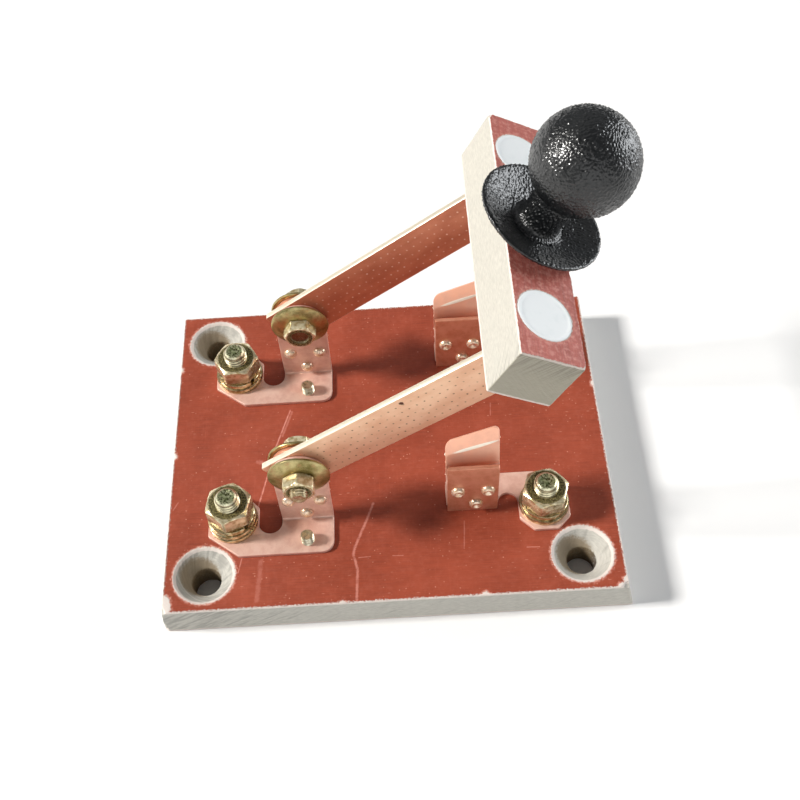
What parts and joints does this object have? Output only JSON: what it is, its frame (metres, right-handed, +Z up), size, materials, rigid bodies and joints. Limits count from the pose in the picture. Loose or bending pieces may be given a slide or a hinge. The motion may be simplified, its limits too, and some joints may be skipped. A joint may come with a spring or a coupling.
{
  "type": "two-pole knife switch",
  "caption": "Open two-pole knife switch: copper blades under a crossbar with a round knob swing from hinge jaws into spring clips on a laminated board.",
  "frame": {"origin": "middle of the board's underside, on the surface that the switch stands on", "axes": "+X from the hinges to the clips, +Y to the back pole, +Z up"},
  "size_m": [0.108, 0.087, 0.1082],
  "materials": {
    "laminate": "red-brown pressed laminate, semi-gloss faces and pale sawn edges",
    "copper": "pink bare copper strip, satin",
    "blade_copper": "rolled copper bar, satin",
    "rivet_metal": "soft cream-grey metal, satin",
    "zinc": "yellow-passivated zinc, satin",
    "dark_zinc": "olive-yellow passivated zinc, satin",
    "white_cap": "white, satin",
    "black_plastic": "black moulded plastic with a fine pebbled grain"
  },
  "bodies": {
    "base": {"base_board": "laminate", "hinge_strip_front": "copper", "hinge_strip_back": "copper", "hinge_jaw_front": "copper", "hinge_jaw_back": "copper", "hinge_rivets_front": "rivet_metal", "hinge_rivets_back": "rivet_metal", "clip_strip_front": "copper", "clip_strip_back": "copper", "clip_jaw_front": "copper", "clip_jaw_back": "copper", "clip_rivets_front": "rivet_metal", "clip_rivets_back": "rivet_metal", "strip_screws_hinge": "rivet_metal", "strip_screws_clip": "rivet_metal", "stud_hinge_front": "zinc", "stud_hinge_back": "zinc", "stud_clip_front": "zinc", "stud_clip_back": "zinc", "washer_hinge_front": "zinc", "washer_hinge_back": "zinc", "washer_clip_front": "zinc", "washer_clip_back": "zinc", "second_washer": "zinc", "spring_hinge_front": "zinc", "spring_hinge_back": "zinc", "spring_clip_front": "zinc", "spring_clip_back": "zinc", "nut_hinge_front": "zinc", "nut_hinge_back": "zinc", "nut_clip_front": "zinc", "nut_clip_back": "zinc", "pivot_bolt_front": "zinc", "pivot_bolt_back": "zinc", "pivot_nut_front": "zinc", "pivot_nut_back": "zinc", "dished_washers_front": "dark_zinc", "dished_washers_back": "dark_zinc"},
    "lever": {"blade_front": "blade_copper", "blade_back": "blade_copper", "crossbar": "laminate", "cap_front": "white_cap", "cap_back": "white_cap", "knob": "black_plastic"}
  },
  "joints": [
    {"name": "lever_hinge", "type": "hinge", "parent": "base", "child": "lever", "pos_m": [-0.0199, 0.00245, 0.0312], "axis": [0, 1, 0], "range_deg": [-127, 39.4]}
  ]
}
